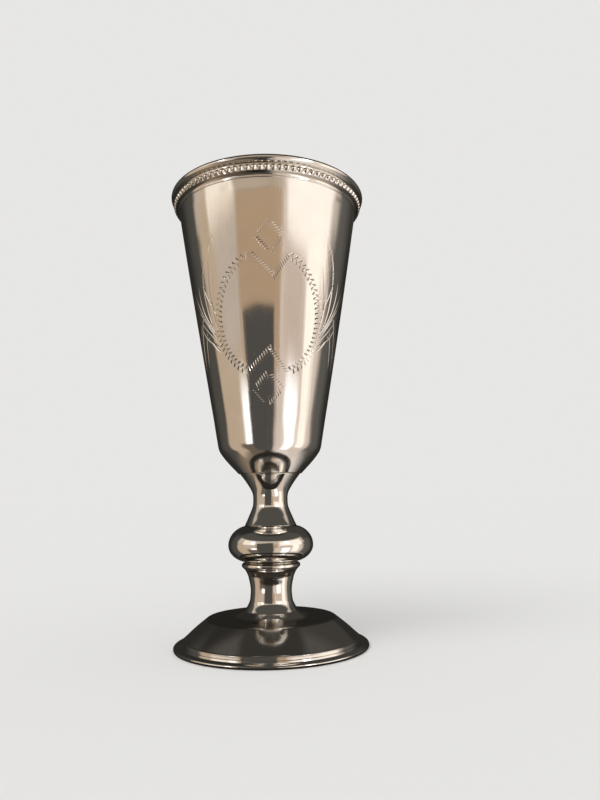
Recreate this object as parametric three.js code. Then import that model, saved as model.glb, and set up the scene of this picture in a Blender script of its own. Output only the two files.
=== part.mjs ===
// A stemmed silver kiddush cup, 120 mm tall: a tall conical bowl with an applied beaded rim, on a waisted
// stem with a flattened knop and a round stepped foot. It is spun and soldered from thin sheet, so the bowl
// is an empty vessel, and the knop, the stems and the foot are hollow and open to below.
// Millimetres, +Z up. The origin is the centre of the foot's underside, and every piece is turned about Z.
import * as THREE from "three";

// Driving dimensions
const CUP_HEIGHT = 120;
const SHEET = 0.6; // thickness of the silver sheet
const SEAM = 0.05; // solder gap between the rim band and the bowl
const WALL_STEPS = 48; // facets round the bowl and the foot
const STEM_STEPS = 24; // facets round the stems and the knop

// Heights of the seams between the pieces
const FOOT_TOP = 7.3;
const KNOP_BOTTOM = 21.3;
const KNOP_TOP = 30.1;
const BOWL_BOTTOM = 43.6;

// Slopes are in degrees from level and outwards: 90 is upright, and more leans in towards the axis

const FOOT = {
  radius: 24.75,
  bearingInner: 22.6, // the ring that the cup stands on runs from here
  bearingOuter: 24.3, // to here
  edgeRound: 0.5, // half the thickness of the foot's edge
  flangeRadius: 22.25, // where the flange meets the short upright step under the sloping side
  flangeHeight: 1.5,
  stepRadius: 22.15, // the foot of the sloping side
  stepHeight: 2.45,
  sideRadius: 16.7, // the top of the sloping side
  sideHeight: 7.02,
  shoulderRadius: 16.05, // the level top starts here
  seatRadius: 8, // the level middle, which the stem stands on
  holeRadius: 4.6,
};

const LOWER_STEM = {
  moundRadius: 10.0, // a low mound spreads from the stem's foot over the level top of the foot
  moundTopRadius: 7.0,
  moundTopHeight: 8.62,
  coneRadius: 6.24, // half way up the cone over the mound
  coneHeight: 9.8,
  coneTopRadius: 5.66,
  coneTopHeight: 10.9,
  waistRadius: 5.3,
  waistHeight: 13.6,
  neckRadius: 5.93, // the top of the stem, under the collar
  neckHeight: 17.4,
  neckSlope: 77,
  collarUnderRadius: 6.5,
  collarUnderHeight: 18.5,
  collarRadius: 7.6,
  collarHeight: 20.12, // the middle of the collar's round edge
  collarHalf: 0.66,
  grooveRadius: 6.9, // between the collar and the knop
  boreRadius: 6.9, // what the inside follows under the cone
};

const KNOP = {
  sectionRadius: 5.5, // its section is a half ellipse that bulges out from this radius
  bulge: 5.55,
  middleHeight: 25.2,
  lowerHalf: 4.25,
  upperHalf: 5.05,
};

const UPPER_STEM = {
  skirtRadius: 6.72,
  coneRadius: 5.5,
  coneHeight: 33.0,
  coneTopRadius: 4.78, // the cone turns rather sharply into the waist here
  coneTopHeight: 34.75,
  coneTopSlope: 109,
  waistRadius: 4.52,
  waistHeight: 36.3,
  flareRadius: 7.8, // a small step inside the edge of the bowl's bottom
  flareSlope: 50,
};

const BOWL = {
  bottomRadius: 8.5,
  bottomSlope: 47,
  floorRadius: 8.25, // the level floor inside
  coneRadius: 12.88, // the top of the short lower cone
  coneHeight: 48.8,
  coneSlope: 55,
  shoulderRadius: 13.93, // where it has turned into the tall wall
  shoulderHeight: 52.2,
  shoulderSlope: 80.5,
  edgeRadius: 25.05, // outside of the upper edge, inside the rim band
  edgeHeight: 119.3,
  belly: 0.25, // how far the tall wall swells out of a straight cone
};

const RIM = {
  bottomHeight: 114.9,
  beads: 96,
  beadRadius: 26.0, // to the crown of a bead
  gapRadius: 25.45, // between two beads
  beadHeight: 117.1,
  beadHalf: 0.9,
  lowerHollowRadius: 25.3, // the moulding just under the beads
  upperHollowRadius: 25.6, // and just over them
  lipUnderRadius: 26.4,
  lipRadius: 26.66,
  lipHeight: 119.35, // where the round lip is widest
  lipHalf: 0.75,
  lipTopRadius: 26.15,
};

const SILVER = { color: 0xcfcac0, roughness: 0.16, metalness: 1 };

// Outlines are lists of points (radius, height), and outer faces run upwards

const point = (radius, height) => new THREE.Vector2(radius, height);

function direction(slope) {
  const angle = THREE.MathUtils.degToRad(slope);
  return point(Math.cos(angle), Math.sin(angle));
}

/** Points on a smooth bend from one point and slope to another point and slope. */
function bend(from, fromSlope, to, toSlope, steps) {
  const pull = 0.38 * from.distanceTo(to);
  const fromHandle = from.clone().addScaledVector(direction(fromSlope), pull);
  const toHandle = to.clone().addScaledVector(direction(toSlope), -pull);
  return new THREE.CubicBezierCurve(from, fromHandle, toHandle, to).getPoints(steps);
}

/** Points on an elliptical arc about a centre, from one angle to another, in radians. */
function arc(centre, radialHalf, heightHalf, start, end, steps) {
  return Array.from({ length: steps + 1 }, (_, i) => {
    const angle = THREE.MathUtils.lerp(start, end, i / steps);
    return point(centre.x + radialHalf * Math.cos(angle), centre.y + heightHalf * Math.sin(angle));
  });
}

/** The lines joined end to end, without the doubled points where they meet. */
function joined(...lines) {
  return lines.flat().filter((p, i, all) => i === 0 || p.distanceTo(all[i - 1]) > 1e-6);
}

/** The ends of a line and every second point between them. */
function everySecond(line) {
  return line.filter((_, i) => i % 2 === 0 || i === line.length - 1);
}

/** The unit direction that a line has at one of its points. */
function along(line, i) {
  const before = line[Math.max(i - 1, 0)];
  const after = line[Math.min(i + 1, line.length - 1)];
  return after.clone().sub(before).normalize();
}

/** The face at one sheet's thickness inside an outer face. */
function innerFace(outer) {
  return outer.map((p, i) => {
    const run = along(outer, i);
    return point(p.x - SHEET * run.y, p.y + SHEET * run.x);
  });
}

/** A sheet metal ring whose two ends are cut level, from its outer face and the line its inside follows. */
function sheetRing(outer, bore = everySecond(outer)) {
  const inner = innerFace(bore);
  for (const i of [0, bore.length - 1]) {
    inner[i] = point(bore[i].x - SHEET / along(bore, i).y, bore[i].y);
  }
  return closed(outer, inner);
}

/** A closed outline from an outer face and an inner face that both run upwards. */
function closed(outer, inner) {
  return [...outer, ...inner.toReversed(), outer[0].clone()];
}

/** A body turned about Z. */
function turned(outline, steps) {
  return new THREE.LatheGeometry(outline, steps).rotateX(Math.PI / 2);
}

function footOutline() {
  const f = FOOT;
  const edge = point(f.bearingOuter, f.edgeRound);
  const roundEdge = arc(edge, f.radius - edge.x, f.edgeRound, -Math.PI / 2, Math.PI / 2, 2);
  const raised = [
    point(f.flangeRadius, f.flangeHeight),
    point(f.stepRadius, f.stepHeight),
    point(f.sideRadius, f.sideHeight),
    point(f.shoulderRadius, FOOT_TOP),
    point(f.seatRadius, FOOT_TOP),
    point(f.holeRadius, FOOT_TOP),
  ];
  return closed([...roundEdge, ...raised], [point(f.bearingInner, 0), ...innerFace(raised)]);
}

function lowerStemOutline() {
  const s = LOWER_STEM;
  const waist = point(s.waistRadius, s.waistHeight);
  const collar = point(s.grooveRadius, s.collarHeight);
  const top = point(s.grooveRadius, KNOP_BOTTOM);
  const cone = point(s.coneRadius, s.coneHeight);
  const neck = bend(waist, 90, point(s.neckRadius, s.neckHeight), s.neckSlope, 2);
  const outer = [
    point(s.moundRadius, FOOT_TOP),
    point(s.moundTopRadius, s.moundTopHeight),
    cone,
    point(s.coneTopRadius, s.coneTopHeight),
    ...neck,
    point(s.collarUnderRadius, s.collarUnderHeight),
    ...arc(collar, s.collarRadius - collar.x, s.collarHalf, -Math.PI / 2, Math.PI / 2, 4),
    top,
  ];
  return sheetRing(outer, [point(s.boreRadius, FOOT_TOP), cone, ...everySecond(neck), top]);
}

function knopOutline() {
  const k = KNOP;
  const centre = point(k.sectionRadius, k.middleHeight);
  const lowest = Math.asin((KNOP_BOTTOM - k.middleHeight) / k.lowerHalf);
  const highest = Math.asin((KNOP_TOP - k.middleHeight) / k.upperHalf);
  const lower = arc(centre, k.bulge, k.lowerHalf, lowest, 0, 4);
  const upper = arc(centre, k.bulge, k.upperHalf, 0, highest, 4);
  return sheetRing(joined(lower, upper));
}

function upperStemOutline() {
  const s = UPPER_STEM;
  const waist = point(s.waistRadius, s.waistHeight);
  const cone = point(s.coneRadius, s.coneHeight);
  const coneTop = point(s.coneTopRadius, s.coneTopHeight);
  const skirt = [point(s.skirtRadius, KNOP_TOP), cone, coneTop];
  const lower = bend(coneTop, s.coneTopSlope, waist, 90, 2);
  const upper = bend(waist, 90, point(s.flareRadius, BOWL_BOTTOM), s.flareSlope, 6);
  return sheetRing(joined(skirt, lower, upper));
}

/** The outside of the bowl, from the edge of its level bottom to its upper edge. */
function bowlFace() {
  const b = BOWL;
  const shoulder = point(b.shoulderRadius, b.shoulderHeight);
  const edge = point(b.edgeRadius, b.edgeHeight);
  const coneTop = point(b.coneRadius, b.coneHeight);
  const cone = bend(point(b.bottomRadius, BOWL_BOTTOM), b.bottomSlope, coneTop, b.coneSlope, 3);
  const lower = joined(cone, bend(coneTop, b.coneSlope, shoulder, b.shoulderSlope, 3));
  const wall = [0, 0.25, 0.5, 0.75, 1].map((t) => {
    const straight = shoulder.clone().lerp(edge, t);
    return point(straight.x + 4 * b.belly * t * (1 - t), straight.y);
  });
  return joined(lower, wall);
}

function bowlOutline() {
  const outer = bowlFace();
  const inner = innerFace(outer).slice(1);
  inner[inner.length - 1].y = BOWL.edgeHeight;
  const floor = BOWL_BOTTOM + SHEET;
  return [
    point(0, BOWL_BOTTOM),
    ...outer,
    ...inner.toReversed(),
    point(BOWL.floorRadius, floor),
    point(0, floor),
  ];
}

/** Outer radius of the bowl at a height near its upper edge. */
function bowlRadiusAt(height) {
  const [low, high] = bowlFace().slice(-2);
  return THREE.MathUtils.mapLinear(height, low.y, high.y, low.x, high.x);
}

/** The rim band: a hollow, the beads, a second hollow, and the round lip over the bowl's own edge. */
function rimOutline() {
  const r = RIM;
  const overEdge = BOWL.edgeHeight + SEAM;
  const outer = [
    point(bowlRadiusAt(r.bottomHeight) + SEAM, r.bottomHeight),
    point(r.lowerHollowRadius, r.beadHeight - r.beadHalf),
    point(r.beadRadius, r.beadHeight),
    point(r.upperHollowRadius, r.beadHeight + r.beadHalf),
    point(r.lipUnderRadius, r.lipHeight - r.lipHalf),
    point(r.lipRadius, r.lipHeight),
    point(r.lipTopRadius, CUP_HEIGHT),
    point(BOWL.edgeRadius, CUP_HEIGHT),
    point(BOWL.edgeRadius - SHEET, overEdge),
  ];
  return closed(outer, [point(BOWL.edgeRadius + SEAM, overEdge)]);
}

/** The turned rim band, with every second step round it drawn in at the height of the beads' crowns. */
function beadedRim() {
  const geometry = turned(rimOutline(), 2 * RIM.beads);
  const position = geometry.getAttribute("position");
  for (let i = 0; i < position.count; i++) {
    const [x, y, z] = [position.getX(i), position.getY(i), position.getZ(i)];
    const radius = Math.hypot(x, y);
    const step = Math.round((Math.atan2(y, x) * RIM.beads) / Math.PI);
    if (Math.abs(z - RIM.beadHeight) < 1e-3 && step % 2 !== 0) {
      position.setXY(i, (x * RIM.gapRadius) / radius, (y * RIM.gapRadius) / radius);
    }
  }
  return geometry;
}

const cup = new THREE.Group();

function addPiece(name, geometry) {
  const mesh = new THREE.Mesh(geometry, new THREE.MeshStandardMaterial(SILVER));
  mesh.name = name;
  cup.add(mesh);
}

addPiece("foot", turned(footOutline(), WALL_STEPS));
addPiece("lower_stem", turned(lowerStemOutline(), STEM_STEPS));
addPiece("knop", turned(knopOutline(), STEM_STEPS));
addPiece("upper_stem", turned(upperStemOutline(), STEM_STEPS));
addPiece("bowl", turned(bowlOutline(), WALL_STEPS));
addPiece("beaded_rim", beadedRim());

export default cup;
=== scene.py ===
"""The looks of a stemmed silver kiddush cup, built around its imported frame.

Metres, +Z up, with the medallion towards -Y. Outlines and places on the cup are in millimetres until the meshes
are made.
"""

import math

import bpy
import numpy as np
from mathutils import Matrix, Vector, geometry, kdtree

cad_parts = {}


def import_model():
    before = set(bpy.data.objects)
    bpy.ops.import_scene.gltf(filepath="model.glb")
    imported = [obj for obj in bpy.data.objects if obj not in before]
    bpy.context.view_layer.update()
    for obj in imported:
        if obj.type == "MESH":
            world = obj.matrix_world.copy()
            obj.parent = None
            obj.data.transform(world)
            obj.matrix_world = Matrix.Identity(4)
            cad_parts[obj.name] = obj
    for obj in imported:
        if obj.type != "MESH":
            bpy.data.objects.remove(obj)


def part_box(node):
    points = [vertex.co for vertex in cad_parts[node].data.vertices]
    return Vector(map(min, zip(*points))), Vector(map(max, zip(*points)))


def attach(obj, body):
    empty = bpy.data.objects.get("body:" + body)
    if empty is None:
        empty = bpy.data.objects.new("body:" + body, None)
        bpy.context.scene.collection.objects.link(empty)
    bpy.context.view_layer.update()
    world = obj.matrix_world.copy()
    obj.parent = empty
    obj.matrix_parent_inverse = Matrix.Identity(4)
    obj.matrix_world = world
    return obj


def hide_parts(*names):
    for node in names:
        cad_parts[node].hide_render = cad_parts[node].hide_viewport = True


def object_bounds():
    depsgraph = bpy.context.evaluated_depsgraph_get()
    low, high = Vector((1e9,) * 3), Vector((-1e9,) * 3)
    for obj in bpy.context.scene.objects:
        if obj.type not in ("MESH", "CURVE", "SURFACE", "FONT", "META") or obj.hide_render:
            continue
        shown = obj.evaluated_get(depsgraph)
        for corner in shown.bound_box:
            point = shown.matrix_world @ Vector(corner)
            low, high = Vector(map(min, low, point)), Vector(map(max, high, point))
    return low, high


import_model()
cad_low, cad_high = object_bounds()

MM = 0.001
ROUND_STEPS = 288  # facets round the bowl
FOOT_STEPS = 224
STEM_STEPS = 160  # facets round the stems and the knop

# ---------------------------------------------------------------- sizes, in millimetres

FOOT_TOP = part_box("foot")[1].z / MM
KNOP_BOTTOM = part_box("knop")[0].z / MM
KNOP_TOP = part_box("knop")[1].z / MM
BOWL_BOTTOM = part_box("bowl")[0].z / MM
BOWL_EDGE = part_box("bowl")[1].z / MM
CUP_TOP = cad_high.z / MM
FOOT_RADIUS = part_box("foot")[1].x / MM
KNOP_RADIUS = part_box("knop")[1].x / MM
BOWL_EDGE_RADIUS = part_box("bowl")[1].x / MM
LIP_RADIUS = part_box("beaded_rim")[1].x / MM
SHEET = 0.6
FOOT_HOLE = 4.6  # radius of the hole under the stem

SHOULDER = (13.93, 52.2)  # radius and height where the bowl's short lower cone has become the tall wall
SHOULDER_SLOPE = 80.5
CONE_TOP = (12.88, 48.8)  # where the cone under the bowl starts to bend into the shoulder
CONE_SLOPES = (47, 55)  # at the cone's foot and at its top
BOWL_FOOT_RADIUS = 8.5
FLARE_RADIUS = 7.8  # the stem's top, a small step inside the bowl's foot
MOUND_RADIUS = 10.0  # the low mound at the stem's foot
COLLAR_RADIUS = 7.6
COLLAR = {"radius": 6.95, "height": 20.12, "half": 0.66}  # the middle of its round edge, and half its thickness
BELLY = 0.25  # how far the tall wall swells out of a straight cone

BEADS = 96
BEAD_HEIGHT = 117.1
BEAD_SIZE = 0.84  # a bead's radius
RIM_BOTTOM = 114.9

# ---------------------------------------------------------------- places and outlines


def about_axis(radius, angle, height):
    """Places about the cup's axis. Angle 0 is at -Y, the middle of the medallion, and grows towards +X."""
    height = np.broadcast_to(height, np.broadcast(radius, angle, height).shape)
    return np.stack([radius * np.sin(angle), -radius * np.cos(angle), height], -1)


# Outlines are arrays of (radius, height)


def bend(start, start_slope, end, end_slope, steps, pull=0.38):
    """A smooth bend between two points, with slopes in degrees from level and outwards."""
    start, end = np.array(start, float), np.array(end, float)
    reach = pull * np.linalg.norm(end - start)
    a, b = math.radians(start_slope), math.radians(end_slope)
    handle = start + reach * np.array([math.cos(a), math.sin(a)])
    other = end - reach * np.array([math.cos(b), math.sin(b)])
    t = np.linspace(0, 1, steps + 1)[:, None]
    return (1 - t) ** 3 * start + 3 * t * (1 - t) ** 2 * handle + 3 * t**2 * (1 - t) * other + t**3 * end


def arc(centre, radial_half, height_half, start, end, steps):
    """An elliptical arc between two angles in degrees."""
    t = np.radians(np.linspace(start, end, steps + 1))
    return np.stack([centre[0] + radial_half * np.cos(t), centre[1] + height_half * np.sin(t)], 1)


def line(*points):
    return np.array(points, float)


def joined(*parts):
    """The parts end to end, without doubled points."""
    points = np.concatenate(parts)
    keep = np.ones(len(points), bool)
    keep[1:] = np.linalg.norm(np.diff(points, axis=0), axis=1) > 1e-4
    return points[keep]


def inside(outline):
    """The line at one sheet's thickness inside an outline that runs upwards."""
    run = np.gradient(outline, axis=0)
    run /= np.linalg.norm(run, axis=1)[:, None]
    return outline + SHEET * np.stack([-run[:, 1], run[:, 0]], 1)


def bowl_cone():
    """The bowl's outer outline from its foot, with a small round edge, up to the shoulder."""
    edge = arc((BOWL_FOOT_RADIUS - 0.3, BOWL_BOTTOM + 0.3), 0.3, 0.3, -90, -38, 5)
    cone = bend(edge[-1], CONE_SLOPES[0], CONE_TOP, CONE_SLOPES[1], 12)
    return joined(edge, cone, bend(CONE_TOP, CONE_SLOPES[1], SHOULDER, SHOULDER_SLOPE, 18))


def wall_radius(height):
    """Outer radius of the bowl's tall wall at a height."""
    t = (np.asarray(height, float) - SHOULDER[1]) / (BOWL_EDGE - SHOULDER[1])
    return SHOULDER[0] + (BOWL_EDGE_RADIUS - SHOULDER[0]) * t + 4 * BELLY * t * (1 - t)


# ---------------------------------------------------------------- the bowl's slightly uneven wall

# Long shallow waves left by hand work: waves round the bowl, height in mm, phase, and radians of phase per mm
# up
WAVES = (
    (2, 0.060, 0.4, 0.020),
    (5, 0.040, 2.1, 0.045),
    (9, 0.026, 4.0, -0.060),
    (14, 0.014, 0.7, 0.090),
    (23, 0.007, 2.9, -0.110),
    (31, 0.0045, 5.1, 0.070),
    (47, 0.0020, 1.3, -0.050),
)

# Small dents: degrees round from the medallion, height, radius and depth in mm
DENTS = (
    (-38, 64.3, 0.95, 0.060),
    (-33, 59.4, 0.80, 0.050),
    (-54, 101.0, 2.4, 0.045),
    (-66, 96.0, 3.2, 0.060),
    (-47, 79.0, 2.6, 0.035),
    (64, 76.0, 3.0, 0.040),
    (150, 88.0, 4.0, 0.080),
    (-120, 70.0, 3.2, 0.070),
)


def unevenness(angle, height):
    """How far the wall stands off its true form, in mm. It dies out at the shoulder and the upper edge."""
    angle, height = np.asarray(angle, float), np.asarray(height, float)
    off = np.zeros(np.broadcast(angle, height).shape)
    for turns, size, phase, lean in WAVES:
        off += size * np.sin(turns * angle + phase + lean * height)
    for degrees, level, radius, depth in DENTS:
        along = np.angle(np.exp(1j * (angle - math.radians(degrees)))) * wall_radius(level)
        off -= depth * np.exp(-(along**2 + (height - level) ** 2) / radius**2)
    ends = np.clip((height - SHOULDER[1]) / 6, 0, 1) * np.clip((RIM_BOTTOM - height) / 3, 0, 1)
    return off * ends * ends * (3 - 2 * ends)


def wall_point(angle, height, depth=0.0):
    """Points on the outer wall, sunk by a depth."""
    return about_axis(wall_radius(height) + unevenness(angle, height) - depth, angle, height)


def wall_normal(angle, height):
    step = 0.02
    turn = step / 20
    across = wall_point(angle + turn, height) - wall_point(angle - turn, height)
    up = wall_point(angle, height + step) - wall_point(angle, height - step)
    normal = np.cross(across, up)
    return normal / np.linalg.norm(normal, axis=-1)[..., None]


# ---------------------------------------------------------------- engraving

# A cut is an array of rows (along the wall, height, half width, depth), in mm. Along is measured on the wall from
# the middle of the medallion.

MEDALLION = {"height": 82.3, "half_width": 13.6, "half_height": 15.2, "opening": 22.0}
NOTCH = {"reach": 4.9, "depth": 5.4}
LOZENGE = {"half_width": 2.85, "half_height": 3.3}
HATCH = {"pitch": 0.74, "half_band": 0.72, "slant": 0.6, "narrow": 0.62}
WRIGGLE = {"pitch": 1.27, "half_band": 0.70, "wide": 0.26, "hair": 0.05, "depth": 0.13}


def wedge(tail, head):
    """One rocked cut of a flat graver: a hair line that opens into a deep wedge at its head."""
    t = np.linspace(0, 1.12, 8)[:, None]
    at = tail + t * (head - tail)
    opening = np.clip((t - 0.35) / 0.6, 0, 1)
    half = WRIGGLE["hair"] + (WRIGGLE["wide"] - WRIGGLE["hair"]) * opening * opening * (3 - 2 * opening)
    return np.concatenate([at, half, WRIGGLE["depth"] * (half / WRIGGLE["wide"]) ** 0.8], 1)


def wriggled(path):
    """A zigzag band along a path: cuts that swing from side to side, each from the last one's head."""
    path = np.array(path, float)
    lengths = np.concatenate([[0], np.cumsum(np.linalg.norm(np.diff(path, axis=0), axis=1))])
    count = 2 * max(2, round(lengths[-1] / WRIGGLE["pitch"]))
    at = np.linspace(0.12 * WRIGGLE["pitch"], lengths[-1] - 0.12 * WRIGGLE["pitch"], count + 1)
    middle = np.stack([np.interp(at, lengths, path[:, i]) for i in (0, 1)], 1)
    run = np.gradient(middle, axis=0)
    run /= np.linalg.norm(run, axis=1)[:, None]
    swing = np.where(np.arange(count + 1) % 2, 1, -1)[:, None]
    points = middle + np.stack([-run[:, 1], run[:, 0]], 1) * WRIGGLE["half_band"] * swing
    return [wedge(points[i], points[i + 1]) for i in range(count)]


def hatched(start, end):
    """A straight band of close parallel cuts, all aslant to it."""
    start, end = np.array(start, float), np.array(end, float)
    run = (end - start) / np.linalg.norm(end - start)
    count = round(np.linalg.norm(end - start) / HATCH["pitch"])
    reach = HATCH["half_band"] * (np.array([-run[1], run[0]]) + HATCH["slant"] * run)
    middles = start + np.outer((np.arange(count) + 0.5) / count, end - start)
    cuts = [wedge(middle - reach, middle + reach) for middle in middles]
    for cut in cuts:
        cut[:, 2] *= HATCH["narrow"]
    return cuts


def lozenge(centre):
    """Four hatched sides about a plain middle."""
    corners = [(0, 1), (1, 0), (0, -1), (-1, 0), (0, 1)]
    tips = [np.array(centre) + (x * LOZENGE["half_width"], y * LOZENGE["half_height"]) for x, y in corners]
    return [cut for a, b in zip(tips, tips[1:]) for cut in hatched(a, b)]


def medallion():
    """An oval of two bowed sides with a V-shaped notch above and below, and a lozenge over each notch."""
    m, n = MEDALLION, NOTCH
    cuts = []
    for side in (-1, 1):
        sweep = np.radians(np.linspace(90 - m["opening"], m["opening"] - 90, 60))
        across = side * m["half_width"] * np.cos(sweep)
        cuts += wriggled(np.stack([across, m["height"] + m["half_height"] * np.sin(sweep)], 1))
    for end in (1, -1):
        rim = m["height"] + end * m["half_height"] * math.cos(math.radians(m["opening"]))
        apex = (0.9, rim - end * n["depth"])
        for side in (-1, 1):
            cuts += hatched((side * n["reach"], rim + end * 0.4), apex)
        cuts += lozenge((0.15 + end * 0.4, rim + end * 4.3))
    return cuts


def stroke(root, root_slope, tip, tip_slope, width):
    """One long cut that swells and runs out, from its root to its tip. Slopes are in degrees from level."""
    path = bend(root, root_slope, tip, tip_slope, 40, pull=0.36)
    t = np.linspace(0, 1, len(path))
    half = 0.5 * width * np.clip(np.sin(math.pi * t**0.8), 0.05, 1) ** 0.7
    return np.column_stack([path, half, 0.42 * half])


# The leaves of a spray: root along and up, slope there, tip along and up, slope there, width. Along is measured
# away from the medallion's middle.
LEAVES = (
    (14.2, 77.8, 56, 15.3, 104.2, 138, 0.50),
    (14.0, 79.0, 70, 16.4, 102.0, 104, 0.80),
    (14.8, 82.5, 78, 15.3, 95.2, 92, 0.40),
    (14.9, 83.5, 62, 19.5, 94.6, 100, 0.45),
    (13.8, 77.4, 50, 22.4, 92.6, 84, 0.45),
    (13.6, 77.0, 46, 26.6, 92.8, 58, 0.40),
    (13.4, 76.4, 44, 30.6, 93.4, 40, 0.45),
    (13.3, 75.6, 40, 25.4, 86.0, 42, 0.35),
    (13.0, 74.4, 36, 21.8, 81.0, 54, 0.70),
    (12.8, 73.4, 38, 18.4, 78.5, 46, 0.60),
)
HANGING = (
    (20.2, 83.8, -62, 21.4, 68.8, -94, 0.60),
    (22.4, 82.4, -70, 23.2, 70.4, -92, 0.45),
    (18.6, 79.6, -72, 19.0, 70.2, -96, 0.30),
)


def spray(side, stretch=1.0):
    """Long leaves that fan out from beside the medallion, and a few that hang under them."""
    cuts = []
    for along, height, slope, tip_along, tip_height, tip_slope, width in LEAVES + HANGING:
        tip = (along + (tip_along - along) * stretch, height + (tip_height - height) * stretch)
        cuts.append(stroke((along, height), slope, tip, tip_slope, width))
    for cut in cuts:
        cut[:, 0] *= side
    return cuts


def around(cuts, half_turn):
    """Cuts as (angle, height, half width, depth), on the front or, with a half turn, on the back."""
    turned = []
    for cut in cuts:
        angle = cut[:, 0] / wall_radius(cut[:, 1])
        turned.append(np.column_stack([angle + (math.pi if half_turn else 0), cut[:, 1:]]))
    return turned


def all_cuts():
    front = medallion() + spray(1) + spray(-1, 0.94)
    back = spray(1, 0.9) + spray(-1, 0.9) + lozenge((0.0, 83.0))
    return around(front, False) + around(back, True)


SAMPLE_SPACING = 0.06  # mm between the places where a cut's depth is kept


class Engraving:
    """The depth of the cuts at any place on the wall, and where the mesh needs points for them."""

    def __init__(self, cuts):
        self.cuts = cuts
        samples = []
        for cut in cuts:
            at = wall_point(cut[:, 0], cut[:, 1])
            for a, b in zip(range(len(cut) - 1), range(1, len(cut))):
                steps = max(1, math.ceil(np.linalg.norm(at[b] - at[a]) / SAMPLE_SPACING))
                for i in range(steps):
                    t = i / steps
                    place, size = at[a] * (1 - t) + at[b] * t, cut[a, 2:] * (1 - t) + cut[b, 2:] * t
                    samples.append((*place, *size))
            samples.append((*at[-1], *cut[-1, 2:]))
        self.samples = np.array(samples)
        self.widest = self.samples[:, 3].max()
        self.tree = kdtree.KDTree(len(samples))
        for i, row in enumerate(self.samples):
            self.tree.insert(row[:3], i)
        self.tree.balance()

    def depth(self, point):
        deepest = 0.0
        for _, i, distance in self.tree.find_range(point, self.widest):
            half, depth = self.samples[i, 3:]
            deepest = max(deepest, depth * (1 - distance / half))
        return deepest

    def near(self, point, margin):
        return bool(self.tree.find_range(point, self.widest + margin))

    def outline_points(self):
        """Points down the middle and both sides of each cut, and round its ends, as (angle, height)."""
        found = []
        for cut in self.cuts:
            radius = wall_radius(cut[:, 1])
            flat = np.column_stack([cut[:, 0] * radius, cut[:, 1]])
            run = np.gradient(flat, axis=0)
            run /= np.linalg.norm(run, axis=1)[:, None]
            side = np.stack([-run[:, 1], run[:, 0]], 1) * cut[:, 2:3]
            rows = [flat, flat + side, flat - side]
            for end, way in ((0, -1), (-1, 1)):
                out = run[end] * way * cut[end, 2]
                corners = [out, 0.7 * (out + side[end]), 0.7 * (out - side[end])]
                rows.append(flat[end] + np.array(corners))
            rows = np.concatenate(rows)
            found.append(np.column_stack([rows[:, 0] / wall_radius(rows[:, 1]), rows[:, 1]]))
        return np.concatenate(found)


# ---------------------------------------------------------------- meshes


def ring_points(outline, steps, first_angle=0.0):
    """The outline turned about Z, as an array (height rows, steps, 3)."""
    return about_axis(outline[:, 0:1], first_angle + np.arange(steps) * 2 * math.pi / steps, outline[:, 1:2])


def ring_faces(rows, steps, first=0):
    """Quads between rows of a ring grid whose rows run upwards on the outside."""
    faces = []
    for i in range(rows - 1):
        a, b = first + i * steps, first + (i + 1) * steps
        faces += [(a + j, a + (j + 1) % steps, b + (j + 1) % steps, b + j) for j in range(steps)]
    return faces


def closed_ring_faces(rows, steps):
    """The quads of a ring whose last row also meets its first."""
    last = (rows - 1) * steps
    closing = [(last + j, last + (j + 1) % steps, (j + 1) % steps, j) for j in range(steps)]
    return ring_faces(rows, steps) + closing


def add_piece(name, vertices, faces, node, crease=30):
    """A smooth-shaded piece in place of a CAD node, riding on the body."""
    mesh = bpy.data.meshes.new(name)
    mesh.from_pydata((np.asarray(vertices) * MM).tolist(), [], faces)
    mesh.validate()
    mesh.shade_smooth()
    mesh.set_sharp_from_angle(angle=math.radians(crease))
    piece = bpy.data.objects.new(name, mesh)
    bpy.context.scene.collection.objects.link(piece)
    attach(piece, "root")
    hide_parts(node)
    return piece


def turned_piece(name, outline, steps, node):
    """A closed ring from a closed outline whose outer face runs upwards."""
    vertices = ring_points(outline, steps).reshape(-1, 3)
    return add_piece(name, vertices, closed_ring_faces(len(outline), steps), node)


def section(outer, bore):
    """A closed outline from an outer face and an inner face that both run upwards."""
    return np.concatenate([outer, bore[::-1]])


def foot_outline():
    edge = arc((FOOT_RADIUS - 0.5, 0.5), 0.5, 0.5, -90, 68, 16)
    brim = (23.3, 1.28)
    step_foot = (22.22, 1.5)
    step_top = (22.4, 2.15)
    side_foot = (22.1, 2.52)
    side_top = (16.7, 7.02)
    plate = (16.1, FOOT_TOP)
    outer = joined(
        edge,
        bend(edge[-1], 164, brim, 172, 4),
        line(brim, (22.7, 1.33)),
        bend((22.6, 1.34), 178, step_foot, 84, 6),
        line(step_foot, step_top),
        bend(step_top, 76, side_foot, 136, 10),
        bend(side_foot, 137, side_top, 143, 20),
        bend(side_top, 144, plate, 180, 10),
        line((12.0, FOOT_TOP), (MOUND_RADIUS + 0.05, FOOT_TOP)),
        line((FOOT_HOLE, FOOT_TOP)),
    )
    under_side, under_plate = (17.4, 5.65), (14.8, 6.5)
    under = joined(
        line((22.6, 0.0)),
        bend((22.5, 0.35), 110, (21.3, 1.6), 134, 6),
        line(under_side),
        bend(under_side, 134, under_plate, 177, 8),
        line((8.0, FOOT_TOP - SHEET), (FOOT_HOLE, FOOT_TOP - SHEET)),
    )
    return section(outer, under)


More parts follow.
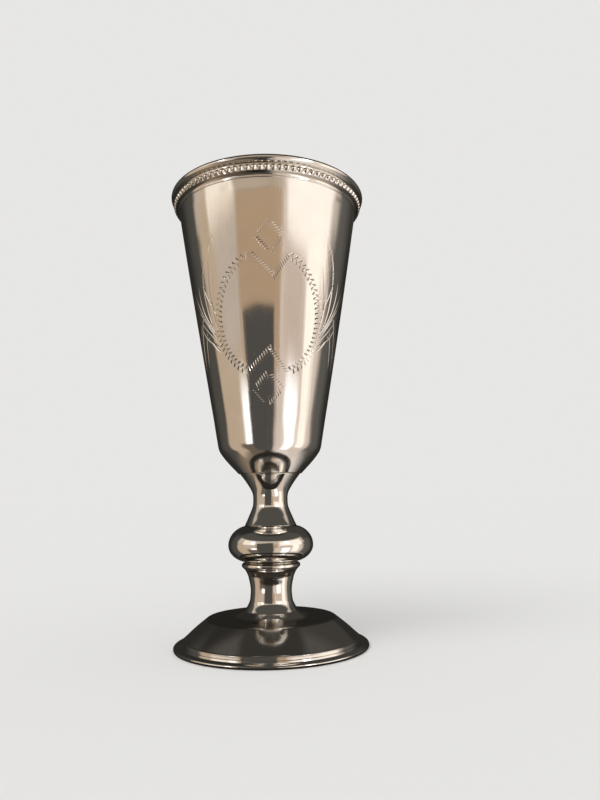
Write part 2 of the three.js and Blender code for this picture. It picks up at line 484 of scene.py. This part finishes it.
def lower_stem_outline():
    mound_top = (7.0, 8.62)
    cone_foot = (6.7, 8.95)
    cone_top = (5.66, 10.9)
    bend_top = (5.40, 12.2)
    waist = (5.3, 13.6)
    neck = (5.93, 17.4)
    collar = (COLLAR["radius"], COLLAR["height"])
    outer = joined(
        line((MOUND_RADIUS, FOOT_TOP + 0.02)),
        bend((MOUND_RADIUS - 0.05, FOOT_TOP + 0.04), 171, mound_top, 147, 16),
        bend(mound_top, 147, cone_foot, 120, 6),
        bend(cone_foot, 117, cone_top, 113, 12),
        bend(cone_top, 113, bend_top, 96, 8),
        bend(bend_top, 96, waist, 90, 6),
        bend(waist, 90, neck, 77, 12),
        bend((5.98, 17.55), 62, (7.1, 19.35), 40, 10),
        arc(collar, COLLAR_RADIUS - COLLAR["radius"], COLLAR["half"], -72, 90, 16),
        line((6.75, KNOP_BOTTOM)),
    )
    bore_waist = (4.7, 13.6)
    bore = joined(
        line((6.2, FOOT_TOP)),
        bend((6.0, 7.8), 126, bore_waist, 90, 10),
        bend(bore_waist, 90, (6.2, KNOP_BOTTOM), 70, 10),
    )
    return section(outer, bore)


def knop_outline():
    """Two quarter ellipses, a lower and an upper one, that bulge out from a cylinder's radius."""
    centre = (5.5, 25.2)
    bulge = KNOP_RADIUS - centre[0]
    low, high = 4.25, 5.05
    start = math.degrees(math.asin((KNOP_BOTTOM - centre[1]) / low))
    end = math.degrees(math.asin((KNOP_TOP - centre[1]) / high))
    outer = joined(arc(centre, bulge, low, start, 0, 28), arc(centre, bulge, high, 0, end, 32))
    bore_low = arc(centre, bulge - SHEET, low - SHEET, start * 1.06, 0, 12)
    bore = joined(bore_low, arc(centre, bulge - SHEET, high - SHEET, 0, end, 12))
    bore[0, 1], bore[-1, 1] = KNOP_BOTTOM, KNOP_TOP
    return section(outer, bore)


def upper_stem_outline():
    cone_foot = (5.5, 33.0)
    cone_top = (4.78, 34.75)
    bend_top = (4.56, 35.85)
    waist = (4.52, 36.8)
    flare_foot = (5.1, 39.45)
    flare_top = (FLARE_RADIUS - 0.15, BOWL_BOTTOM - 0.42)
    outer = joined(
        arc((6.6, KNOP_TOP + 0.15), 0.15, 0.15, -90, 25, 6),
        bend((6.72, KNOP_TOP + 0.24), 118, cone_foot, 114, 14),
        bend(cone_foot, 114, cone_top, 110, 6),
        bend(cone_top, 110, bend_top, 94.5, 8),
        bend(bend_top, 94.5, waist, 90, 4),
        bend(waist, 90, flare_foot, 62, 14, pull=0.42),
        bend(flare_foot, 60, flare_top, 52, 16),
        arc((FLARE_RADIUS - 0.3, BOWL_BOTTOM - 0.2), 0.3, 0.2, -30, 90, 6),
    )
    bore_waist = (3.92, 35.7)
    bore = joined(
        line((6.0, KNOP_TOP)),
        bend((5.7, 31.0), 128, bore_waist, 90, 10),
        bend(bore_waist, 90, (7.5, BOWL_BOTTOM), 50, 12),
    )
    return section(outer, bore)


def rim_outline():
    """The rim band's section, from its lower edge on the wall, without the beads."""
    seat = float(wall_radius(RIM_BOTTOM)) + 0.02
    hollow_low, hollow_high = BEAD_HEIGHT - 0.9, BEAD_HEIGHT + 0.9
    lip_centre = (LIP_RADIUS - 0.72, CUP_TOP - 0.74)
    return joined(
        line((seat, RIM_BOTTOM)),
        arc((seat + 0.06, RIM_BOTTOM + 0.16), 0.14, 0.16, -90, 60, 5),
        bend((seat + 0.12, RIM_BOTTOM + 0.42), 85, (25.28, hollow_low), 40, 8),
        bend((25.42, hollow_low + 0.1), 88, (25.5, hollow_high - 0.1), 92, 18),
        bend((25.52, hollow_high), 90, (26.2, CUP_TOP - 1.42), 42, 8),
        arc(lip_centre, 0.72, 0.74, -55, 90, 18),
        line((25.5, CUP_TOP)),
        arc((25.1, CUP_TOP - 0.5), 0.6, 0.5, 90, 180, 8),
        line((24.45, BOWL_EDGE + 0.05), (BOWL_EDGE_RADIUS + 0.03, BOWL_EDGE + 0.05)),
    )


def beaded_rim():
    """The rim band with its row of round beads raised out of the hollow."""
    steps = BEADS * 12
    outline = rim_outline()
    points = ring_points(outline, steps)
    angle = np.arange(steps) * 2 * math.pi / steps
    off = np.abs((angle * BEADS / (2 * math.pi) + 0.5) % 1 - 0.5) * 2 * math.pi / BEADS * 25.6
    for i, (radius, height) in enumerate(outline):
        rise = BEAD_SIZE**2 - off**2 - (height - BEAD_HEIGHT) ** 2
        if abs(height - BEAD_HEIGHT) < BEAD_SIZE and radius > 25:
            crown = np.where(rise > 0, 25.16 + np.sqrt(np.maximum(rise, 0)), radius)
            factor = np.maximum(crown, radius) / radius
            points[i, :, :2] *= factor[:, None]
    faces = closed_ring_faces(len(outline), steps)
    return add_piece("beaded_rim_band", points.reshape(-1, 3), faces, "beaded_rim", crease=42)


def wall_mesh(engraving):
    """The (angle, height) of the engraved wall's points, its triangles, and how deep each point is cut."""
    flat = 20.0  # mm of the flat pattern's width for one radian
    margin = 0.12  # mm round a cut that is left to the cut's own points
    turn = 2 * math.pi / ROUND_STEPS
    heights = np.linspace(SHOULDER[1], BOWL_EDGE, 56)
    grid = []
    for i, height in enumerate(heights):
        for j in range(ROUND_STEPS + 1):
            angle = -math.pi + j * turn
            edge = i in (0, len(heights) - 1) or j in (0, ROUND_STEPS)
            if edge or not engraving.near(wall_point(angle, height), margin):
                grid.append((angle, height))
    cuts = engraving.outline_points()
    cuts[:, 0] = (cuts[:, 0] + math.pi) % (2 * math.pi) - math.pi
    inside_wall = (cuts[:, 1] > SHOULDER[1] + 0.3) & (cuts[:, 1] < RIM_BOTTOM - 0.3)
    places = np.concatenate([np.array(grid), cuts[inside_wall]])
    pattern = [Vector((a * flat, h)) for a, h in places]
    found = geometry.delaunay_2d_cdt(pattern, [], [], 0, 1e-4)
    places = np.array([(v.x / flat, v.y) for v in found[0]])
    faces = np.array(found[2])
    depth = np.array([engraving.depth(p) for p in wall_point(places[:, 0], places[:, 1])])
    return places, faces, depth


def engraved_bowl():
    """The bowl: the engraved wall, the shoulder and level bottom below it, and the plain inside."""
    engraving = Engraving(all_cuts())
    places, wall_faces, depth = wall_mesh(engraving)
    wall = wall_point(places[:, 0], places[:, 1], depth)
    wall_normals = wall_normal(places[:, 0], places[:, 1])

    # The pattern's left and right edges are the same line on the bowl
    index = np.arange(len(places))
    right = np.where(places[:, 0] > math.pi - 1e-5)[0]
    left = np.where(places[:, 0] < -math.pi + 1e-5)[0]
    for i in right:
        index[i] = left[np.argmin(np.abs(places[left, 1] - places[i, 1]))]
    wall_faces = [tuple(index[v] for v in f) for f in wall_faces]

    # Rings for the rest, which share the wall's lowest and highest rings
    steps = ROUND_STEPS
    below = bowl_cone()
    wall_line = [(wall_radius(h), h) for h in np.linspace(SHOULDER[1], BOWL_EDGE, 30)[1:]]
    outside = np.concatenate([below, wall_line])
    hollow = inside(outside)[1:]
    hollow[-1, 1] = BOWL_EDGE
    level = BOWL_BOTTOM + SHEET
    inner = joined(line((0.02, level), (4.0, level), (7.6, level + 0.05)), hollow)[::-1]
    underside = line((0.02, BOWL_BOTTOM), (4.0, BOWL_BOTTOM), (7.0, BOWL_BOTTOM))
    lower = joined(underside, below)[:-1]

    def turned_rows(outline):
        return ring_points(outline, steps, -math.pi).reshape(-1, 3)

    def edge_ring(height):
        on = np.where(np.abs(places[:, 1] - height) < 1e-4)[0]
        on = on[places[on, 0] < math.pi - 1e-5]
        return on[np.argsort(places[on, 0])].tolist()

    count = len(wall)
    vertices = np.concatenate([wall, turned_rows(lower), turned_rows(inner)])
    low_first, inner_first = count, count + len(lower) * steps
    faces = list(wall_faces)
    faces += ring_faces(len(lower), steps, low_first)
    faces += ring_faces(len(inner), steps, inner_first)
    shoulder_ring, edge = edge_ring(SHOULDER[1]), edge_ring(BOWL_EDGE)
    last_low = low_first + (len(lower) - 1) * steps
    for j in range(steps):
        k = (j + 1) % steps
        faces.append((last_low + j, last_low + k, shoulder_ring[k], shoulder_ring[j]))
        faces.append((edge[j], edge[k], inner_first + k, inner_first + j))
    faces.append(tuple(low_first + j for j in reversed(range(steps))))
    last_inner = inner_first + (len(inner) - 1) * steps
    faces.append(tuple(last_inner + j for j in range(steps)))

    bowl = add_piece("engraved_bowl", vertices, faces, "bowl", crease=35)
    shade_wall(bowl.data, len(wall_faces), count, wall_normals, depth)
    return bowl


def shade_wall(mesh, wall_face_count, wall_count, wall_normals, depth):
    """Gives the wall its true normals and the cuts crisp facets, and stores how deep each point is cut."""
    loops = np.empty(len(mesh.loops), int)
    mesh.loops.foreach_get("vertex_index", loops)
    normals = np.empty(len(mesh.loops) * 3)
    mesh.corner_normals.foreach_get("vector", normals)
    normals = normals.reshape(-1, 3)
    for face in mesh.polygons:
        corners = list(face.loop_indices)
        on_wall = [loops[i] < wall_count for i in corners]
        if not all(on_wall) or len(corners) != 3:
            continue
        cut = max(depth[loops[i]] for i in corners) > 1e-4
        for i in corners:
            normals[i] = face.normal if cut else wall_normals[loops[i]]
    mesh.normals_split_custom_set(normals.tolist())
    cut_depth = np.zeros(len(mesh.vertices), np.float32)
    cut_depth[:wall_count] = np.clip(depth / WRIGGLE["depth"], 0, 1)
    mesh.attributes.new("cut_depth", "FLOAT", "POINT").data.foreach_set("value", cut_depth)


# ---------------------------------------------------------------- materials


class Nodes:
    """A short hand for building a node tree."""

    def __init__(self, tree):
        self.tree = tree
        tree.nodes.clear()

    def add(self, kind, *links, **settings):
        """A node with its settings, and links into its first inputs."""
        node = self.tree.nodes.new(kind)
        for key, value in settings.items():
            setattr(node, key, value)
        for i, link in enumerate(links):
            self.tree.links.new(link, node.inputs[i])
        return node

    def math(self, operation, a, b=None):
        node = self.tree.nodes.new("ShaderNodeMath")
        node.operation = operation
        for i, value in enumerate((a, b)):
            if value is None:
                continue
            if isinstance(value, (int, float)):
                node.inputs[i].default_value = value
            else:
                self.tree.links.new(value, node.inputs[i])
        return node.outputs[0]

    def link(self, a, b):
        self.tree.links.new(a, b)


def noise(nodes, vector, scale, detail=3.0, roughness=0.55):
    node = nodes.add("ShaderNodeTexNoise", vector)
    node.inputs["Scale"].default_value = scale
    node.inputs["Detail"].default_value = detail
    node.inputs["Roughness"].default_value = roughness
    return node.outputs["Fac"]


def remap(nodes, value, low, high, to_low, to_high):
    node = nodes.add("ShaderNodeMapRange", value)
    for i, v in enumerate((low, high, to_low, to_high)):
        node.inputs[1 + i].default_value = v
    return node.outputs[0]


def silver(name, tint, tarnish, polish, upright, dark_levels=(), engraved=False):
    """Polished old silver. Polish lines run upright on the bowl and round the axis on turned pieces."""
    material = bpy.data.materials.new(name)
    material.use_nodes = True
    nodes = Nodes(material.node_tree)
    output = nodes.add("ShaderNodeOutputMaterial")
    shader = nodes.add("ShaderNodeBsdfPrincipled")
    shader.inputs["Metallic"].default_value = 1.0
    nodes.link(shader.outputs[0], output.inputs[0])
    place = nodes.add("ShaderNodeTexCoord").outputs["Object"]
    axes = nodes.add("ShaderNodeSeparateXYZ", place).outputs
    squares = [nodes.math("MULTIPLY", axis, axis) for axis in (axes[0], axes[1])]
    radius = nodes.math("MAXIMUM", nodes.math("SQRT", nodes.math("ADD", *squares)), 1e-5)
    east = nodes.math("DIVIDE", axes[0], radius)
    north = nodes.math("DIVIDE", axes[1], radius)

    def on_axis(round_scale, up_scale, out_scale=0.0):
        """The place as noise coordinates, stretched round the axis or up it."""
        reach = round_scale
        if out_scale:
            reach = nodes.math("ADD", round_scale, nodes.math("MULTIPLY", radius, out_scale))
        mix = nodes.add("ShaderNodeCombineXYZ")
        nodes.link(nodes.math("MULTIPLY", east, reach), mix.inputs[0])
        nodes.link(nodes.math("MULTIPLY", north, reach), mix.inputs[1])
        nodes.link(nodes.math("MULTIPLY", axes[2], up_scale), mix.inputs[2])
        return mix.outputs[0]

    if upright:
        fine = noise(nodes, on_axis(60.0, 60.0), 1.0, 4.0, 0.65)
        broad = noise(nodes, on_axis(9.0, 18.0), 1.0, 3.0)
    else:
        fine = noise(nodes, on_axis(1.2, 5200.0, 5200.0), 1.0, 3.0, 0.6)
        broad = noise(nodes, on_axis(2.0, 700.0, 700.0), 1.0, 2.0)
    blotch = noise(nodes, place, 120.0, 4.0)
    specks = noise(nodes, place, 2400.0, 2.0)
    scratches = noise(nodes, on_axis(14.0, 900.0), 1.0, 5.0, 0.7)

    dull = remap(nodes, blotch, 0.45, 0.80, 0.0, 0.10)
    # Thin darker lines at the given levels: the joints between pieces, and on the rim band the creases at the
    # edges of the hollow round the bead row
    for level in dark_levels:
        away = nodes.math("ABSOLUTE", nodes.math("SUBTRACT", axes[2], level * MM))
        dull = nodes.math("MAXIMUM", dull, remap(nodes, away, 0.0, 0.40 * MM, 0.85, 0.0))
    if engraved:
        cut = nodes.add("ShaderNodeAttribute", attribute_name="cut_depth").outputs["Fac"]
        dull = nodes.math("MAXIMUM", dull, nodes.math("MULTIPLY", cut, 0.45))
    colour = nodes.add("ShaderNodeMix", data_type="RGBA")
    nodes.link(dull, colour.inputs[0])
    colour.inputs[6].default_value = (*tint, 1)
    colour.inputs[7].default_value = (*tarnish, 1)
    nodes.link(colour.outputs[2], shader.inputs["Base Color"])

    rough = remap(nodes, fine, 0.3, 0.7, polish * 0.75, polish * 1.3)
    rough = nodes.math("ADD", rough, nodes.math("MULTIPLY", dull, 0.06))
    nodes.link(nodes.math("ADD", rough, nodes.math("MULTIPLY", specks, 0.02)), shader.inputs["Roughness"])

    height = nodes.math("ADD", nodes.math("MULTIPLY", fine, 1.0), nodes.math("MULTIPLY", broad, 1.4))
    height = nodes.math("ADD", height, nodes.math("MULTIPLY", scratches, 0.25))
    if upright:
        lines = noise(nodes, on_axis(210.0, 7.0), 1.0, 1.0, 0.5)
        height = nodes.math("ADD", height, remap(nodes, lines, 0.66, 0.70, 0.0, 0.45))
        height = nodes.math("ADD", height, nodes.math("MULTIPLY", specks, 0.3))
    bump = nodes.add("ShaderNodeBump")
    bump.inputs["Strength"].default_value = 0.30
    bump.inputs["Distance"].default_value = 0.014 * MM
    nodes.link(height, bump.inputs["Height"])
    nodes.link(bump.outputs[0], shader.inputs["Normal"])
    return material


# ---------------------------------------------------------------- studio

# What the silver mirrors, as soft-edged panels laid over each other: azimuth from and to, elevation from and to,
# softness across and up, all in degrees, and a linear colour. Azimuth 0 is at -Y and grows towards +X.
DARK_ROOM = (0.026, 0.024, 0.021)
PANELS = (
    ("side_gloom_left", -132, -60, -60, 34, 34, 12, (0.075, 0.070, 0.060)),
    ("side_gloom_right", 60, 132, -60, 34, 34, 12, (0.105, 0.098, 0.088)),
    ("ceiling", -185, 185, 64, 95, 6, 14, (0.036, 0.033, 0.028)),
    ("ceiling_back", 112, 248, 20, 66, 16, 8, (0.050, 0.046, 0.040)),
    ("ceiling_front", -118, 118, 30, 66, 20, 8, (0.078, 0.071, 0.062)),
    ("cornice", -104, 104, 12, 34, 10, 4, (0.52, 0.45, 0.37)),
    ("low_right", 14, 150, -95, -46, 34, 26, (0.80, 0.72, 0.65)),
    ("low_left", -140, -66, -88, -46, 30, 20, (0.24, 0.18, 0.13)),
    ("left_wall", -101, -38, -54, 16, 8, 10, (0.50, 0.38, 0.27)),
    ("left_low_shade", -68, -20, -70, -17, 12, 8, (0.14, 0.11, 0.085)),
    ("right_room", 8, 96, -60, 24, 14, 12, (0.68, 0.56, 0.47)),
    ("left_grey", -76, -40, -4, 9, 6, 5, (0.50, 0.415, 0.345)),
    ("left_cream", -82, -43, 10, 31, 5, 4, (0.95, 0.83, 0.69)),
    ("left_bright", -54, -35, -20, -8, 7, 5, (1.30, 1.26, 1.20)),
    ("window", 31, 53, -56, -8, 8, 8, (1.45, 1.42, 1.38)),
    ("white_high", 24, 92, 5, 30, 9, 5, (1.10, 0.98, 0.87)),
    ("white_side", 61, 81, -36, 8, 6, 8, (1.15, 1.04, 0.90)),
    ("rosy", 22, 56, -6, 5, 9, 4, (0.58, 0.455, 0.37)),
    ("front_wall", -42, 18, -8, 10.5, 3, 1.5, (0.43, 0.30, 0.19)),
    ("front_wall_high", -43, 20, 10.5, 21, 6, 2, (0.46, 0.37, 0.28)),
    ("left_lamp", -55, -48, 17, 26, 2, 2, (6.0, 5.8, 5.5)),
    ("right_lamp", 40, 50, 16, 26, 2, 2, (7.0, 6.8, 6.5)),
)
BEHIND = (0.30, 0.265, 0.225)  # low down behind the cup
PALE = (0.80, 0.795, 0.78)
GREY = (0.66, 0.66, 0.66)  # the light on the floor

# The dark shape in front of the cup, in mm
CARD = {"away": -134, "left": -100, "right": 14, "top": 80.5, "bottom": -200}
CARD_COLOUR = (0.075, 0.069, 0.062)

# A dark disc on the floor, in mm
CLOTH = {"radius": 33, "lift": 0.05, "steps": 96}
CLOTH_COLOUR = (0.022, 0.019, 0.016)


def world():
    """A pale room for the camera and the floor, and a half-lit one for the silver to mirror."""
    made = bpy.data.worlds.new("studio")
    bpy.context.scene.world = made
    made.cycles.sampling_method = "NONE"
    made.use_nodes = True
    nodes = Nodes(made.node_tree)
    axes = nodes.add("ShaderNodeSeparateXYZ", nodes.add("ShaderNodeTexCoord").outputs["Generated"]).outputs
    azimuth = nodes.math("DEGREES", nodes.math("ARCTAN2", axes[0], nodes.math("MULTIPLY", axes[1], -1.0)))
    elevation = nodes.math("DEGREES", nodes.math("ARCSINE", axes[2]))

    def past(value, limit, soft):
        """0 below the limit and 1 above it, with a soft step between."""
        node = nodes.add("ShaderNodeMapRange", value, interpolation_type="SMOOTHSTEP")
        node.inputs["From Min"].default_value = limit - soft / 2
        node.inputs["From Max"].default_value = limit + soft / 2
        return node.outputs[0]

    def between(value, start, end, soft):
        return nodes.math("SUBTRACT", past(value, start, soft), past(value, end, soft))

    def over(mask, below, colour):
        mix = nodes.add("ShaderNodeMix", data_type="RGBA")
        nodes.link(mask, mix.inputs[0])
        if below is None:
            mix.inputs[6].default_value = (*DARK_ROOM, 1)
        else:
            nodes.link(below, mix.inputs[6])
        mix.inputs[7].default_value = (*colour, 1)
        return mix.outputs[2]

    rear = past(nodes.math("ABSOLUTE", azimuth), 128, 30)
    room = over(nodes.math("MULTIPLY", rear, between(elevation, -95, -40, 18)), None, BEHIND)
    for _, left, right, low, high, across, up, colour in PANELS:
        mask = between(azimuth, left, right, across)
        room = over(nodes.math("MULTIPLY", mask, between(elevation, low, high, up)), room, colour)
    mirrored = nodes.add("ShaderNodeBackground", room)
    pale = nodes.add("ShaderNodeBackground")
    pale.inputs[0].default_value = (*PALE, 1)
    lit = nodes.add("ShaderNodeBackground")
    lit.inputs[0].default_value = (*GREY, 1)
    ray = nodes.add("ShaderNodeLightPath").outputs
    soft = nodes.add("ShaderNodeMixShader", ray["Is Camera Ray"], lit.outputs[0], pale.outputs[0])
    mix = nodes.add("ShaderNodeMixShader", ray["Is Glossy Ray"], soft.outputs[0], mirrored.outputs[0])
    nodes.link(mix.outputs[0], nodes.add("ShaderNodeOutputWorld").inputs[0])


def floor():
    """A pale floor that the silver doesn't mirror, because the room in the mirror has its own."""
    mesh = bpy.data.meshes.new("floor")
    reach = 30.0
    corners = [(-reach, -reach, 0), (reach, -reach, 0), (reach, reach, 0), (-reach, reach, 0)]
    mesh.from_pydata(corners, [], [(0, 1, 2, 3)])
    obj = bpy.data.objects.new("floor", mesh)
    material = bpy.data.materials.new("pale_floor")
    material.use_nodes = True
    shader = material.node_tree.nodes["Principled BSDF"]
    shader.inputs["Base Color"].default_value = (*PALE, 1)
    shader.inputs["Roughness"].default_value = 1.0
    shader.inputs["Specular IOR Level"].default_value = 0.0
    mesh.materials.append(material)
    bpy.context.scene.collection.objects.link(obj)
    obj.visible_glossy = False


def lights():
    """A broad soft light from the upper left, for the floor's shadow alone."""
    lamp = bpy.data.lights.new("soft_light", "SUN")
    lamp.energy = 1.35
    lamp.angle = math.radians(50)
    obj = bpy.data.objects.new("soft_light", lamp)
    obj.rotation_euler = (math.radians(38), 0, math.radians(-35))
    obj.visible_glossy = False
    bpy.context.scene.collection.objects.link(obj)


def mirrored_face(name, corners, colour):
    """A flat face of one even colour, given in mm, which only the silver sees."""
    mesh = bpy.data.meshes.new(name)
    mesh.from_pydata((np.array(corners) * MM).tolist(), [], [tuple(range(len(corners)))])
    material = bpy.data.materials.new(name)
    material.use_nodes = True
    nodes = Nodes(material.node_tree)
    emission = nodes.add("ShaderNodeEmission")
    emission.inputs[0].default_value = (*colour, 1)
    nodes.link(emission.outputs[0], nodes.add("ShaderNodeOutputMaterial").inputs[0])
    mesh.materials.append(material)
    obj = bpy.data.objects.new(name, mesh)
    bpy.context.scene.collection.objects.link(obj)
    for way in ("camera", "diffuse", "shadow", "transmission", "volume_scatter"):
        setattr(obj, f"visible_{way}", False)


def dark_surroundings():
    """The dark card in front of the cup and the small dark disc that it stands on."""
    across = [(CARD["left"], CARD["bottom"]), (CARD["right"], CARD["bottom"])]
    across += [(CARD["right"], CARD["top"]), (CARD["left"], CARD["top"])]
    mirrored_face("dark_card", [(x, CARD["away"], z) for x, z in across], CARD_COLOUR)
    turn = 2 * math.pi / CLOTH["steps"]
    disc = [about_axis(CLOTH["radius"], i * turn, CLOTH["lift"]) for i in range(CLOTH["steps"])]
    mirrored_face("dark_cloth", disc, CLOTH_COLOUR)


def camera():
    """A close view from a little above the foot, looking slightly up at the bowl."""
    height = cad_high.z - cad_low.z
    yaw, pitch, roll = math.radians(2.72), math.radians(8.70), math.radians(-0.97)
    ahead = Vector((math.sin(yaw), math.cos(yaw), 0))
    right = Vector((math.cos(yaw), -math.sin(yaw), 0))
    up = Vector((0, 0, 1))
    look = ahead * math.cos(pitch) + up * math.sin(pitch)
    over = up * math.cos(pitch) - ahead * math.sin(pitch)
    x = right * math.cos(roll) + over * math.sin(roll)
    y = over * math.cos(roll) - right * math.sin(roll)
    data = bpy.data.cameras.new("camera")
    data.lens = 29.25
    data.sensor_width = 36
    data.clip_start = 0.01
    obj = bpy.data.objects.new("camera", data)
    axes = Matrix((x, y, -look)).transposed().to_4x4()
    obj.matrix_world = Matrix.Translation((0, -1.446 * height, 0.306 * height)) @ axes
    bpy.context.scene.collection.objects.link(obj)
    bpy.context.scene.camera = obj


camera()
world()
floor()
lights()
dark_surroundings()
bpy.context.scene.view_settings.view_transform = "Standard"

TINT, TARNISH = (0.95, 0.94, 0.92), (0.36, 0.31, 0.25)
bowl = engraved_bowl()
rim = beaded_rim()
foot = turned_piece("stepped_foot", foot_outline(), FOOT_STEPS, "foot")
lower_stem = turned_piece("lower_stem_tube", lower_stem_outline(), STEM_STEPS, "lower_stem")
knop = turned_piece("knop_ball", knop_outline(), STEM_STEPS, "knop")
upper_stem = turned_piece("upper_stem_tube", upper_stem_outline(), STEM_STEPS, "upper_stem")

bowl_silver = silver("bowl_silver", TINT, TARNISH, 0.075, True, engraved=True)
# Darker lines in the creases at the edges of the hollow round the bead row; the band has no joint there
bead_hollow_dark_lines = (BEAD_HEIGHT - 1.1, BEAD_HEIGHT + 1.1)
rim_silver = silver("rim_silver", TINT, TARNISH, 0.07, False, dark_levels=bead_hollow_dark_lines)
foot_silver = silver("foot_silver", TINT, TARNISH, 0.05, False, dark_levels=(FOOT_TOP,))
stem_seams = (FOOT_TOP, KNOP_BOTTOM, KNOP_TOP, BOWL_BOTTOM)
stem_silver = silver("stem_silver", TINT, TARNISH, 0.045, False, dark_levels=stem_seams)
bowl.data.materials.append(bowl_silver)
rim.data.materials.append(rim_silver)
foot.data.materials.append(foot_silver)
for piece in (lower_stem, knop, upper_stem):
    piece.data.materials.append(stem_silver)
